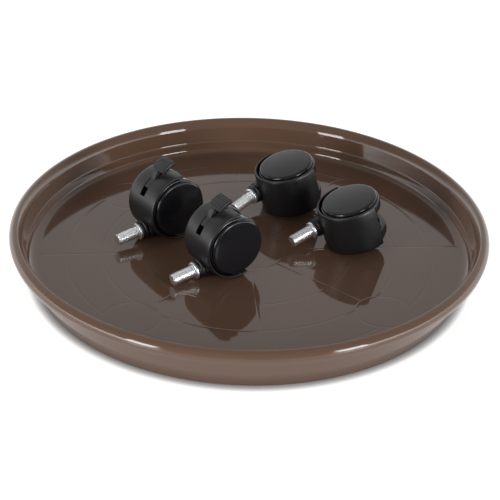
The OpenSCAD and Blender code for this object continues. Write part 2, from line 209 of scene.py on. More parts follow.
def turned(graph, place, angle):
    """Object coordinates in millimetres, turned back by an angle about the upright."""
    turn = graph.nodes.new("ShaderNodeMapping")
    turn.inputs["Rotation"].default_value = (0, 0, -angle)
    turn.inputs["Scale"].default_value = (1000, 1000, 1000)
    join(graph, place, turn.inputs["Vector"])
    parts = graph.nodes.new("ShaderNodeSeparateXYZ")
    join(graph, turn.outputs[0], parts.inputs[0])
    return parts.outputs


def size_of(graph, value):
    return maths(graph, "ABSOLUTE", value)


def off_by(graph, value, wanted):
    return size_of(graph, maths(graph, "SUBTRACT", value, wanted))


def far(graph, x, y):
    squares = maths(graph, "MULTIPLY_ADD", x, x, maths(graph, "MULTIPLY", y, y))
    return maths(graph, "SQRT", squares)


def fade(graph, value, full, none):
    """1 up to `full`, 0 from `none` on, smooth between."""
    return rescale(graph, value, none, full, kind="SMOOTHSTEP")


def sink_marks(graph, place):
    x, y, z = turned(graph, place, SPOKE_TURN)
    radius = far(graph, x, y)
    ring = off_by(graph, radius, RING_RADII[0])
    for other in RING_RADII[1:]:
        ring = maths(graph, "MINIMUM", ring, off_by(graph, radius, other))
    straight = maths(graph, "MINIMUM", size_of(graph, x), size_of(graph, y))
    other_way = size_of(graph, maths(graph, "ADD", x, y))
    crossed = maths(graph, "MINIMUM", off_by(graph, x, y), other_way)
    spoke = maths(graph, "MINIMUM", straight, maths(graph, "MULTIPLY", crossed, 0.7071))
    spoke = maths(graph, "ADD", spoke, maths(graph, "LESS_THAN", radius, RING_RADII[0]))
    u, v, _ = turned(graph, place, SOCKET_TURN)
    long_side = maths(graph, "MAXIMUM", size_of(graph, u), size_of(graph, v))
    short_side = maths(graph, "MINIMUM", size_of(graph, u), size_of(graph, v))
    to_socket = far(graph, maths(graph, "SUBTRACT", long_side, SOCKET_FAR), short_side)
    in_socket = maths(graph, "LESS_THAN", to_socket, SOCKET_RING)
    inside = maths(graph, "MULTIPLY", in_socket, FAR_OFF)
    outside = maths(graph, "ADD", maths(graph, "MINIMUM", ring, spoke), inside)
    nearest = maths(graph, "MINIMUM", outside, off_by(graph, to_socket, SOCKET_RING))
    on_floor = maths(graph, "LESS_THAN", off_by(graph, z, FLOOR_TOP), 0.2)
    return maths(graph, "MULTIPLY", fade(graph, nearest, 0.1, 1.2), on_floor)


# %% [markdown]
# The finish itself is two close browns that drift into each other and a polish
# that varies a little, over two layers of bump: the waves and the sink marks.

# %% Dish finish
BROWN = (0.117, 0.066, 0.043)
BROWN_DEEP = (0.108, 0.061, 0.040)


def brown_gloss():
    material, graph, shader, place = start_material("brown_gloss")
    two_tone(graph, shader, noise(graph, place, 9, 3), BROWN, BROWN_DEEP)
    shader.inputs["IOR"].default_value = 1.49
    uneven_gloss(graph, shader, noise(graph, place, 60, 4), 0.04, 0.07)
    waves = bump(graph, shader, noise(graph, place, 14, 1), 0.00012)
    level = maths(graph, "SUBTRACT", 1.0, sink_marks(graph, place))
    bump(graph, shader, level, 0.00006, waves)
    return material


# %% [markdown]
# ## Black plastics
#
# Two blacks meet on a caster. The hood comes from a spark-eroded tool that
# leaves a fine, even grain, which scatters light to a soft charcoal. The wheel
# faces are polished and nearly mirror-like, with a faint haze from handling.

# %% Hood, lever and wheel finishes
def black_grain(name, colour, rough, grain_depth):
    material, graph, shader, place = start_material(name)
    paler = tuple(c * 1.35 for c in colour)
    two_tone(graph, shader, noise(graph, place, 1400, 2), colour, paler)
    uneven_gloss(graph, shader, noise(graph, place, 700, 2), rough - 0.05, rough + 0.05)
    bump(graph, shader, noise(graph, place, 2200, 2, 0.6), grain_depth)
    return material


def black_polish():
    material, graph, shader, place = start_material("wheel_satin")
    colour, paler = (0.008, 0.008, 0.0095), (0.011, 0.011, 0.013)
    two_tone(graph, shader, noise(graph, place, 220, 3), colour, paler)
    uneven_gloss(graph, shader, noise(graph, place, 120, 3), 0.12, 0.18)
    shader.inputs["Specular IOR Level"].default_value = 0.34
    bump(graph, shader, noise(graph, place, 45, 1), 0.00001)
    return material


# %% [markdown]
# ## Metals, rubber and the pale bush
#
# Zinc plate is bright with a cool cast and fine marks from the thread roller.
# Steel is duller. Tyres and pads are close-grained rubber. The brass inserts
# and the natural acetal bush hardly show, but a turned-over part is seen too.

# %% Metals and rubber
def metal(name, colour, rough, grain=900, depth=0.0000015):
    material, graph, shader, place = start_material(name)
    shader.inputs["Metallic"].default_value = 1.0
    duller = tuple(c * 0.92 for c in colour)
    two_tone(graph, shader, noise(graph, place, grain, 3), colour, duller)
    uneven_gloss(graph, shader, noise(graph, place, grain * 0.7, 3), rough - 0.06, rough + 0.06)
    bump(graph, shader, noise(graph, place, grain * 2, 2), depth)
    return material


def rubber(name, colour, rough, grain_depth):
    material, graph, shader, place = start_material(name)
    paler = tuple(c * 1.4 for c in colour)
    two_tone(graph, shader, noise(graph, place, 300, 3), colour, paler)
    uneven_gloss(graph, shader, noise(graph, place, 800, 2), rough - 0.06, rough + 0.06)
    bump(graph, shader, noise(graph, place, 1500, 3), grain_depth)
    return material


def acetal():
    material, graph, shader, place = start_material("pale_acetal")
    colour, duller = (0.70, 0.70, 0.66), (0.62, 0.62, 0.58)
    two_tone(graph, shader, noise(graph, place, 400, 2), colour, duller)
    shader.inputs["Roughness"].default_value = 0.42
    shader.inputs["Subsurface Weight"].default_value = 0.05
    bump(graph, shader, noise(graph, place, 900, 2), 0.00001)
    return material


finishes = {
    "dish": brown_gloss(),
    "insert": metal("turned_brass", (0.78, 0.60, 0.30), 0.3),
    "hood": black_grain("hood_grain", (0.0048, 0.0048, 0.0056), 0.40, 0.00002),
    "lever": black_grain("lever_grain", (0.006, 0.006, 0.007), 0.36, 0.00001),
    "steel": metal("drawn_steel", (0.60, 0.61, 0.63), 0.3),
    "zinc": metal("bright_zinc", (0.94, 0.95, 0.96), 0.40),
    "spring": metal("spring_steel", (0.30, 0.30, 0.32), 0.35),
    "bush": acetal(),
    "wheel": black_polish(),
    "tread": rubber("tread_plastic", (0.012, 0.012, 0.013), 0.20, 0.000002),
    "pad": rubber("pad_rubber", (0.05, 0.05, 0.05), 0.7, 0.00002),
}
print("finishes:", ", ".join(sorted(finishes)))

# %% [markdown]
# ## The workbench
#
# Nearly everything here is either turned on a lathe or cut from a slab, so two
# ways of drawing are enough. For the lathe, a single point is extruded from
# corner to corner into half of a cross-section, its corners are rounded with
# the bevel tool, and the spin tool carries it round. Sizes are typed in
# millimetres and turned into metres at the last moment.
#
# An operator works on whatever is selected, and the imported model arrives
# selected, so each job starts by clearing the hands.

# %% Hands, points and outlines
def clear_hands():
    if bpy.context.object and bpy.context.object.mode != "OBJECT":
        bpy.ops.object.mode_set(mode="OBJECT")
    for thing in bpy.context.selected_objects:
        thing.select_set(False)


def take(piece):
    clear_hands()
    piece.select_set(True)
    bpy.context.view_layer.objects.active = piece


def trace(name, start, steps):
    """Sets down one point and extrudes it, step by step, into a line."""
    clear_hands()
    bpy.ops.mesh.primitive_plane_add(size=MM, location=Vector(start) * MM)
    piece = bpy.context.object
    piece.name = name
    bpy.ops.object.transform_apply(location=True)
    bpy.ops.object.mode_set(mode="EDIT")
    bpy.ops.mesh.select_all(action="SELECT")
    bpy.ops.mesh.merge(type="CENTER")
    for step in steps:
        bpy.ops.mesh.extrude_region_move(TRANSFORM_OT_translate={"value": Vector(step) * MM})
    return piece


def steps_between(corners):
    return [(b[0] - a[0], b[1] - a[1]) for a, b in zip(corners, corners[1:])]


def draw_outline(name, corners, closed=False):
    """Corners are (distance from the axis, height, rounding)."""
    start = (corners[0][0], 0, corners[0][1])
    piece = trace(name, start, [(x, 0, z) for x, z in steps_between(corners)])
    if closed:
        bpy.ops.mesh.select_all(action="SELECT")
        bpy.ops.mesh.edge_face_add()
        bpy.ops.mesh.delete(type="ONLY_FACE")
    round_corners(piece, corners, up=2)
    return piece


def pick_points(piece, wanted):
    bpy.ops.mesh.select_mode(type="VERT")
    bpy.ops.mesh.select_all(action="DESELECT")
    bpy.ops.object.mode_set(mode="OBJECT")
    for point in piece.data.vertices:
        point.select = bool(wanted(point.co / MM))
    bpy.ops.object.mode_set(mode="EDIT")


def round_corners(piece, corners, up):
    """Bevels the corners that have a rounding; `up` is their second axis, y or z."""
    for size in sorted({c[2] for c in corners if len(c) > 2 and c[2]}):
        spots = [c for c in corners if len(c) > 2 and c[2] == size]

        def is_near(p):
            return any(abs(p.x - s[0]) + abs(p[up] - s[1]) < 0.01 for s in spots)

        pick_points(piece, is_near)
        bpy.ops.mesh.bevel(offset=size * MM, segments=4, affect="VERTICES", clamp_overlap=False)


def lathe(name, corners, steps=96, closed=False):
    piece = draw_outline(name, corners, closed)
    bpy.ops.mesh.select_all(action="SELECT")
    bpy.ops.mesh.spin(steps=steps, angle=math.tau, center=(0, 0, 0), axis=(0, 0, 1))
    bpy.ops.mesh.select_all(action="SELECT")
    bpy.ops.mesh.remove_doubles(threshold=0.002 * MM)
    bpy.ops.mesh.normals_make_consistent(inside=False)
    bpy.ops.object.mode_set(mode="OBJECT")
    return piece


# %% [markdown]
# Closed pieces are joined, cut and trimmed with the Boolean modifier. Its
# manifold solver is quick and exact, but asks for watertight shapes, which is
# a good habit anyway. The tool piece is used up, as a cutter would be put away.

# %% Joining and cutting
def combine(piece, tool, how):
    take(piece)
    change = piece.modifiers.new("combine", "BOOLEAN")
    change.operation = how
    change.solver = "MANIFOLD"
    change.object = tool
    bpy.ops.object.modifier_apply(modifier=change.name)
    bpy.data.objects.remove(tool)
    return piece


def set_down(piece, place):
    """Moves a piece by a matrix and freezes it there, so its object stays at the origin."""
    take(piece)
    piece.matrix_world = place
    bpy.ops.object.transform_apply(location=True, rotation=True, scale=True)
    return piece


def at(x, y):
    return Matrix.Translation((x * MM, y * MM, 0))


def slab(name, size, place, angle=0.0):
    """A box of a length, depth and height in millimetres, turned about the upright."""
    clear_hands()
    centre = Vector(place) * MM
    bpy.ops.mesh.primitive_cube_add(size=MM, location=centre, rotation=(0, 0, angle))
    piece = bpy.context.object
    piece.name = name
    piece.scale = size
    bpy.ops.object.transform_apply(location=True, rotation=True, scale=True)
    return piece


def finish_off(piece, body, slot, angle=32):
    """Smooths, dresses and hangs a finished piece on the body it moves with."""
    take(piece)
    bpy.ops.object.shade_smooth_by_angle(angle=math.radians(angle))
    piece.data.materials.clear()
    piece.data.materials.append(finishes[slot])
    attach(piece, body)
    return piece


def report(piece):
    points = [v.co for v in piece.data.vertices]
    spans = [(max(p[i] for p in points) - min(p[i] for p in points)) / MM for i in range(3)]
    print(piece.name, "faces", len(piece.data.polygons), "size mm", [round(s, 1) for s in spans])


# %% [markdown]
# The second way of drawing is for flat parts such as webs, lugs and levers. The
# corners are drawn in plan, joined into one face, and extruded to a thickness,
# like a part sawn from sheet.

# %% Cut from sheet
def cut_sheet(name, corners, low, high):
    """Corners are (x, y) or (x, y, rounding) in plan, in millimetres."""
    start = (corners[0][0], corners[0][1], low)
    piece = trace(name, start, [(x, y, 0) for x, y in steps_between(corners)])
    bpy.ops.mesh.select_all(action="SELECT")
    bpy.ops.mesh.edge_face_add()
    round_corners(piece, corners, up=1)
    bpy.ops.mesh.select_all(action="SELECT")
    thickness = (0, 0, (high - low) * MM)
    bpy.ops.mesh.extrude_region_move(TRANSFORM_OT_translate={"value": thickness})
    bpy.ops.mesh.select_all(action="SELECT")
    bpy.ops.mesh.normals_make_consistent(inside=False)
    bpy.ops.object.mode_set(mode="OBJECT")
    return piece


def polar(radius, degrees, centre=(0, 0)):
    angle = math.radians(degrees)
    return (centre[0] + radius * math.cos(angle), centre[1] + radius * math.sin(angle))


def arc(radius, start, turn, steps, centre=(0, 0)):
    """Points from one angle on through a turn, both in degrees."""
    return [polar(radius, start + turn * i / steps, centre) for i in range(steps + 1)]


def soften_edges(piece, width, angle=50, segments=2):
    take(piece)
    edge = piece.modifiers.new("edges", "BEVEL")
    edge.width = width * MM
    edge.segments = segments
    edge.limit_method = "ANGLE"
    edge.angle_limit = math.radians(angle)
    edge.use_clamp_overlap = True
    edge.miter_outer = "MITER_ARC"
    bpy.ops.object.modifier_apply(modifier="edges")
    return piece


# %% [markdown]
# ## The dish
#
# One moulding: a thin floor, a wall that steps outwards twice, and a rim rolled
# over so that wet hands can grip it. The steps are small ledges, and they and
# the crease under the roll draw the thin bright lines inside the dish. A round
# thing with one cross-section calls for the lathe. The outline runs from the
# axis under the floor, down and round the foot, up the outside, over the roll
# and back down the inner steps. The roll ends in a tight lip, and a long gentle
# curve leads from it into the dish. The floor needs a few extra points, or its
# long triangles would shade unevenly.

# %% Turn the dish
FLOOR_UNDER, GUTTER_TOP, ROLL_FOOT = 7.0, 30.2, 24.6
ROLL_RADIUS, ROLL_CENTRE = 4.85, (155.15, 28.45)
LIP_RADIUS, LIP_CENTRE = 1.489, (155.15, 31.811)
SLOPE_RADIUS, SLOPE_CENTRE = 14.97, (164.929, 22.531)


def dish_outline():
    foot = [
        (0, FLOOR_UNDER), (137.5, FLOOR_UNDER, 1.2), (140.6, 4.6, 1.0), (141.7, 0, 0.4),
        (144.0, 0, 0.5), (148.0, 9.5, 0.2), (148.5, 9.9, 0.25), (148.7, 10.7, 0.3),
    ]
    gutter = [
        (152.7, 24.0, 1.5), (153.5, GUTTER_TOP, 0.9), (157.1, GUTTER_TOP, 0.9),
        (157.5, ROLL_FOOT, 0.3), (159.12, ROLL_FOOT, 0.4),
    ]
    roll = arc(ROLL_RADIUS, -28, 118, 24, ROLL_CENTRE)
    lip = arc(LIP_RADIUS, 90, 46.5, 8, LIP_CENTRE)[1:-1]
    slope = arc(SLOPE_RADIUS, 136.5, 22, 9, SLOPE_CENTRE)
    upper_step = [
        (150.88, 27.75, 0.1), (149.5, 18.0, 0.1), (149.22, 17.42, 0.1), (148.95, 17.2, 0.2)]
    lower_step = [(148.0, 12.6, 0.15), (147.6, 11.75, 0.1), (147.2, 11.5, 0.2), (145.6, 10.3, 1.3)]
    floor = [(142.3, FLOOR_TOP, 1.0)] + [(r, FLOOR_TOP) for r in range(140, -20, -20)]
    return foot + gutter + roll + lip + slope + upper_step + lower_step + floor


dish = lathe("dish", dish_outline(), 288)
report(dish)

# %% [markdown]
# Underneath, rings and spokes keep the thin floor flat, and four round posts
# take the threaded inserts. The whole skeleton is built first, as the tool
# maker would see it: rings from the lathe, spokes from slabs. Circles are cut
# clear around each socket, and then the skeleton is joined to the dish.

# %% Ribs, rings and caster sockets
SPOKES = 8
SPOKE_FROM, SPOKE_TO = 23.2, 140.8
RIB_LOW, RIB_THICK = 2.4, 2.2
INTO_FLOOR = 8.35


def ring(name, outer, inner, low, high, steps):
    corners = [(inner, low), (outer, low), (outer, high), (inner, high)]
    return lathe(name, corners, steps, closed=True)


def plug(name, radius, low, high, steps=48):
    return lathe(name, [(0, low), (radius, low), (radius, high), (0, high)], steps)


def spoke(start, end, angle, centre=(0, 0)):
    middle = (start + end) / 2
    x, y = centre[0] + middle * math.cos(angle), centre[1] + middle * math.sin(angle)
    size = (end - start, RIB_THICK, INTO_FLOOR - RIB_LOW)
    return slab("spoke", size, (x, y, (RIB_LOW + INTO_FLOOR) / 2), angle)


def sockets():
    """The direction and the centre of each caster socket."""
    for k in range(4):
        turn = SOCKET_TURN + math.tau * k / 4
        yield turn, (SOCKET_FAR * math.cos(turn), SOCKET_FAR * math.sin(turn))


def build_skeleton():
    first = RING_RADII[0]
    skeleton = ring("skeleton", first + 1, first - 1, RIB_LOW, INTO_FLOOR, 96)
    for radius in RING_RADII[1:]:
        other = ring("ring", radius + 1, radius - 1, RIB_LOW, INTO_FLOOR, 120)
        combine(skeleton, other, "UNION")
    for k in range(SPOKES):
        arm = spoke(SPOKE_FROM, SPOKE_TO, SPOKE_TURN + math.tau * k / SPOKES)
        combine(skeleton, arm, "UNION")
    for _, centre in sockets():
        clearing = plug("clearing", SOCKET_RING, -1, 20, 64)
        combine(skeleton, set_down(clearing, at(*centre)), "DIFFERENCE")
    for turn, centre in sockets():
        band = ring("socket_ring", SOCKET_RING + 1, SOCKET_RING - 1, 1.0, INTO_FLOOR, 64)
        combine(skeleton, set_down(band, at(*centre)), "UNION")
        post = plug("post", 8.5, 0.4, INTO_FLOOR, 64)
        combine(skeleton, set_down(post, at(*centre)), "UNION")
        for quarter in range(4):
            arm = spoke(7.6, 18.2, turn + math.tau * quarter / 4, centre)
            combine(skeleton, arm, "UNION")
    return skeleton


combine(dish, build_skeleton(), "UNION")
for _, centre in sockets():
    combine(dish, set_down(plug("insert_seat", 5.81, -1, 8.41), at(*centre)), "DIFFERENCE")
finish_off(dish, "tray", "dish")
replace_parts(dish, "tray")
report(dish)

# %% [markdown]
# ## Where each caster lies
#
# All four casters are built from the same parts, so each part is modelled once,
# upright round its own axis, and then laid down four times. The joints in the
# record say where: the two wheels' axle gives one direction and the middle,
# and the swivelling stem gives the upright.

# %% Four caster frames
joints = {j["name"]: j for j in frame["joints"]}


def caster_frame(letter):
    left = joints[f"wheel_{letter}_left_roll"]
    right = joints[f"wheel_{letter}_right_roll"]
    middle = (Vector(left["pos_m"]) + Vector(right["pos_m"])) / 2
    along = Vector(right["axis"]).normalized()
    upright = Vector(joints[f"caster_{letter}_swivel"]["axis"]).normalized()
    side = upright.cross(along).normalized()
    upright = along.cross(side)
    turn = Matrix((along, side, upright)).transposed().to_4x4()
    return Matrix.Translation(middle) @ turn


CASTERS = "abcd"
WITH_BRAKE = "ab"
lie = {letter: caster_frame(letter) for letter in CASTERS}
for letter in CASTERS:
    print("caster", letter, "middle mm", [round(v / MM, 1) for v in lie[letter].translation])


def copy_of(pattern, name):
    """A copy with its own mesh."""
    twin = pattern.copy()
    twin.data = pattern.data.copy()
    twin.name = name
    bpy.context.scene.collection.objects.link(twin)
    return twin


# %% [markdown]
# ## Threaded stems
#
# The bright stem is the part that people notice: an M8 thread above a collar,
# and below it a smooth shank that turns inside the caster. A stack of rings
# would look like a thread from afar but not in the hand. A real thread is one
# tooth swept along a spiral, which is what the Screw modifier does. Its two
# ragged ends are cut flat with bisect, and a turned blank with a chamfered nose
# trims the tip.

# %% Cut one stem
PITCH = 1.25
CREST, ROOT = 4.0, 3.24
THREAD_TURNS, STEPS_A_TURN = 15, 40
COLLAR_TOP, TIP = 27.4, 43.4
ON_STEM = at(0, -13.2)


def cut_thread():
    tooth = [
        (ROOT, 0), (ROOT, 0.10), (CREST, 0.54), (CREST, 0.70), (ROOT, 1.14), (ROOT, PITCH)]
    thread = draw_outline("thread", [(r, COLLAR_TOP - 1.6 + z) for r, z in tooth])
    bpy.ops.object.mode_set(mode="OBJECT")
    sweep = thread.modifiers.new("sweep", "SCREW")
    sweep.screw_offset = PITCH * MM
    sweep.iterations = THREAD_TURNS
    sweep.steps = sweep.render_steps = STEPS_A_TURN
    sweep.use_smooth_shade = False
    take(thread)
    bpy.ops.object.modifier_apply(modifier="sweep")
    bpy.ops.object.mode_set(mode="EDIT")
    bpy.ops.mesh.select_all(action="SELECT")
    bpy.ops.mesh.remove_doubles(threshold=0.005 * MM)
    for height, top in ((COLLAR_TOP - 0.3, False), (TIP, True)):
        bpy.ops.mesh.select_all(action="SELECT")
        bpy.ops.mesh.bisect(
            plane_co=(0, 0, height * MM), plane_no=(0, 0, 1), use_fill=True,
            clear_inner=not top, clear_outer=top, threshold=1e-7)
    bpy.ops.mesh.select_all(action="SELECT")
    bpy.ops.mesh.normals_make_consistent(inside=False)
    bpy.ops.object.mode_set(mode="OBJECT")
    blank = lathe("blank", [
        (0, 20), (6, 20), (6, TIP - 3), (4.1, TIP - 0.6), (3.5, TIP, 0.1), (0, TIP)], 40)
    return combine(thread, blank, "INTERSECT")


def cut_stem():
    shank = lathe("stem", [
        (0, 5.05), (3.85, 5.05, 0.4), (3.85, 6.55, 0.05), (3.2, 6.55), (3.2, 7.65),
        (3.85, 7.65, 0.05), (3.85, 25.6), (5.7, 25.6, 0.3), (5.7, COLLAR_TOP, 0.6),
        (3.3, COLLAR_TOP), (3.3, 28.2, 0.1), (0, 28.2)], 64)
    return combine(shank, cut_thread(), "UNION")


stem_pattern = cut_stem()
report(stem_pattern)
for letter in CASTERS:
    stem = copy_of(stem_pattern, f"threaded_stem_{letter}")
    set_down(stem, lie[letter] @ ON_STEM)
    finish_off(stem, f"stem_{letter}", "zinc")
    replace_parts(stem, f"stem_{letter}")
bpy.data.objects.remove(stem_pattern)

# %% [markdown]
# ## Wheels
#
# Each wheel is a polished, gently domed disc. Its edge is rounded over two
# millimetres or so, and that curve is what catches the long bright arcs in the
# studio. The lathe draws it in one outline, with the dome given as a row of
# points on a parabola. A hard tread is moulded round the edge, and runs up to
# the face as a narrow sloping shoulder.

# %% Turn one wheel and one tread
WHEEL_RADIUS = 20


def wheel_outline():
    back = [(0, 11.5), (16.16, 11.5, 0.2)]
    edge = arc(1.7, -20, 100, 14, (17.3, 14.1))
    dome = [(16.6 * t, 16.7 - 0.9 * t * t) for t in (i / 12 for i in range(11, -1, -1))]
    return back + edge + dome


wheel_pattern = lathe("wheel", wheel_outline(), 128)
report(wheel_pattern)
tread_pattern = lathe("tread", [
    (16.2, 6.5, 0.2), (WHEEL_RADIUS, 6.5, 0.9), (WHEEL_RADIUS, 13.3, 0.9),
    (18.64, 13.3, 0.1), (16.2, 11.5, 0.1)], 128, closed=True)
report(tread_pattern)

TO_RIGHT = Matrix.Rotation(math.radians(90), 4, "Y")
TO_LEFT = Matrix.Rotation(math.radians(-90), 4, "Y")
for letter in CASTERS:
    for side, turn in (("left", TO_LEFT), ("right", TO_RIGHT)):
        body = f"wheel_{letter}_{side}"
        place = lie[letter] @ turn
        disc = set_down(copy_of(wheel_pattern, f"wheel_disc_{letter}_{side}"), place)
        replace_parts(finish_off(disc, body, "wheel", 25), body)
        band = set_down(copy_of(tread_pattern, f"wheel_band_{letter}_{side}"), place)
        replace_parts(finish_off(band, body, "tread"), f"tread_{letter}_{side}")
bpy.data.objects.remove(wheel_pattern)
bpy.data.objects.remove(tread_pattern)

# %% [markdown]
# ## Hoods
#
# The hood is the caster's body. A curved crown reaches just over half way round
# both wheels, a web in the middle joins it to the axle boss, and a neck with
# two decorative grooves holds the stem's bush. The drawing lies flat with the
# axle upright, so that crown, web and boss come from the lathe and from sheet,
# and it is stood up at the end. The crown's lips are rounded, because it is
# that soft edge which shows as a thin bright line in the studio.

# %% Crown, web and neck
CROWN_FROM, CROWN_TO = -103, 104
CROWN_OUTSIDE, CROWN_INSIDE, CROWN_HALF = 22.6, 21.15, 14.7
WEB = 1.5
NECK_TOP = 25.3
STAND_UP = Matrix.Rotation(math.radians(-90), 4, "Y")
LIE_FLAT = STAND_UP.inverted()


def arch(radius, half, steps=10):
    """The crown is highest over the middle of the two wheels."""
    ts = [i / steps for i in range(-steps, steps + 1)]
    return [(radius + 0.4 * (1 - t ** 4), t * half) for t in ts]


def turn_crown():
    outside = arch(CROWN_OUTSIDE, 14.2)
    inside = arch(CROWN_INSIDE, 14.3)[::-1]
    lip = [(22.3, CROWN_HALF, 0.3), (21.35, CROWN_HALF, 0.3)]
    other = [(21.35, -CROWN_HALF, 0.3), (22.3, -CROWN_HALF, 0.3)]
    crown = draw_outline("crown", outside + lip + inside + other, closed=True)
    bpy.ops.mesh.select_all(action="SELECT")
    round_by = math.radians(CROWN_TO - CROWN_FROM)
    bpy.ops.mesh.spin(steps=70, angle=round_by, center=(0, 0, 0), axis=(0, 0, 1))
    bpy.ops.mesh.select_all(action="SELECT")
    bpy.ops.mesh.remove_doubles(threshold=0.002 * MM)
    bpy.ops.mesh.fill_holes(sides=0)
    bpy.ops.mesh.select_all(action="SELECT")
    bpy.ops.mesh.normals_make_consistent(inside=False)
    bpy.ops.object.mode_set(mode="OBJECT")
    middle = sum((v.co for v in crown.data.vertices), Vector()) / len(crown.data.vertices)
    now = math.atan2(middle.y, middle.x)
    wanted = math.radians((CROWN_FROM + CROWN_TO) / 2)
    return set_down(crown, Matrix.Rotation(wanted - now, 4, "Z"))


def hood_blank(name):
    hood = turn_crown()
    hood.name = name
    fan_turn = CROWN_TO - CROWN_FROM - 4
    fan = cut_sheet("fan", [(0, 0)] + arc(44, CROWN_FROM + 2, fan_turn, 6), -WEB, WEB)
    combine(fan, plug("web", 21.9, -3, 3, 120), "INTERSECT")
    combine(fan, plug("web_hub", 16, -WEB, WEB, 96), "UNION")
    combine(hood, fan, "UNION")
    boss = lathe("boss", [(0, -6), (5.2, -6, 0.4), (5.2, 6, 0.4), (0, 6)], 64)
    combine(hood, boss, "UNION")
    neck = lathe("neck", [
        (0, 12), (7.2, 12), (7.0, 20.3, 0.2), (6.3, 20.7, 0.1), (6.3, 21.3, 0.1),
        (6.7, 21.7, 0.2), (6.6, 23.2, 0.2), (5.9, 23.6, 0.1), (5.9, 24.1, 0.1),
        (6.2, 24.5, 0.15), (6.1, NECK_TOP, 0.3), (0, NECK_TOP)], 64)
    set_down(neck, LIE_FLAT @ ON_STEM)
    combine(neck, plug("inside", CROWN_INSIDE, -16, 16, 120), "DIFFERENCE")
    combine(hood, neck, "UNION")
    socket = plug("socket", 5.9, 3, 24.3, 64)
    return combine(hood, set_down(socket, LIE_FLAT @ ON_STEM), "UNION")


def bore_hood(hood):
    bush_bore = plug("bush_bore", 4.94, 4, 30, 64)
    combine(hood, set_down(bush_bore, LIE_FLAT @ ON_STEM), "DIFFERENCE")
    return combine(hood, plug("axle_bore", 2.54, -7, 7, 48), "DIFFERENCE")


plain_hood = bore_hood(hood_blank("plain_hood"))
report(plain_hood)

# %% [markdown]
# Two of the four hoods carry a brake. A pocket is sawn down the middle of the
# web, breaks through the crown as a slot, and two lugs hang inside the crown
# with the pin that the lever rocks on.

# %% Brake hood
SLOT = 2.65
PIVOT = (8.5, 14.7)
PIVOT_FAR = math.hypot(*PIVOT)
LUG_FROM, LUG_TO = 2.75, 5.5


def brake_pocket():
    deep = arc(7.3, 10, 106, 8)
    open_side = [polar(44, a) for a in (116, 80, 50, 31)]
    under = arc(20.3, 10, 21, 2)[::-1]
    return cut_sheet("pocket", deep + open_side + under, -SLOT, SLOT)


def brake_lug(low, high):
    """Drawn along the x axis, and turned to the pin at the end."""
    plan = [(PIVOT_FAR, -3), (21.8, -3), (21.8, 3), (PIVOT_FAR, 3)]
    lug = cut_sheet("lug", plan, low, high)
    eye = plug("eye", 3, low, high)
    combine(lug, set_down(eye, at(PIVOT_FAR, 0)), "UNION")
    hole = plug("hole", 1.54, low - 1, high + 1)
    combine(lug, set_down(hole, at(PIVOT_FAR, 0)), "DIFFERENCE")
    return set_down(lug, Matrix.Rotation(math.atan2(PIVOT[1], PIVOT[0]), 4, "Z"))


brake_hood = combine(bore_hood(hood_blank("brake_hood")), brake_pocket(), "DIFFERENCE")
for low, high in ((-LUG_TO, -LUG_FROM), (LUG_FROM, LUG_TO)):
    combine(brake_hood, brake_lug(low, high), "UNION")
report(brake_hood)

for letter in CASTERS:
    pattern = brake_hood if letter in WITH_BRAKE else plain_hood
    hood = set_down(copy_of(pattern, f"hood_shell_{letter}"), lie[letter] @ STAND_UP)
    finish_off(hood, f"housing_{letter}", "hood", 30)
    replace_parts(hood, f"hood_{letter}")
bpy.data.objects.remove(plain_hood)
bpy.data.objects.remove(brake_hood)

# %% [markdown]
# ## Brake levers
#
# A lever is pressed with a thumb, so its tab is broad, thick at the back and
# ribbed on top, and every edge is round. It is sawn from sheet in three parts:
# a strip that closes the slot in the hood, a plate that reaches in to the pin
# and on to the brake bar, and the tab. The tab gets its soft edges from the
# Bevel modifier before it is joined on, and the small grip ribs are laid on last.

# %% Build one lever
STRIP = 2.15
PIN_HOLE, BAR_HOLE = 1.56, 1.04
BAR_AT = (1.0, 11.0)
TAB_MIDDLE, TAB_HALF = -0.6, 6.8
TAB_TOP = [
    (7.6, 24.4), (5.8, 25.9), (3.2, 28.1), (1.1, 29.2), (-0.9, 29.9), (-2.9, 30.4), (-4.8, 30.7)]
TAB_UNDER = [
    (-5.2, 28.3), (-3.3, 27.9), (-1.6, 27.4), (0.1, 26.7), (1.9, 25.8), (4.0, 24.4), (5.4, 23.4)]
GRIP_RIBS = 7
RIB_RADIUS, RIB_INSET = 0.38, 0.8


def pin_at(name, radius, half, point):
    return set_down(plug(name, radius, -half, half), at(*point))


def beside(point, dx, dy):
    return (point[0] + dx, point[1] + dy)


def along_tab(share):
    """A point of the tab's top at a share of its length."""
    lengths = [math.dist(a, b) for a, b in zip(TAB_TOP, TAB_TOP[1:])]
    left = share * sum(lengths)
    for a, b, length in zip(TAB_TOP, TAB_TOP[1:], lengths):
        if left <= length:
            x, y = a[0] + (b[0] - a[0]) * left / length, a[1] + (b[1] - a[1]) * left / length
            return (x, y)
        left -= length
    return TAB_TOP[-1]


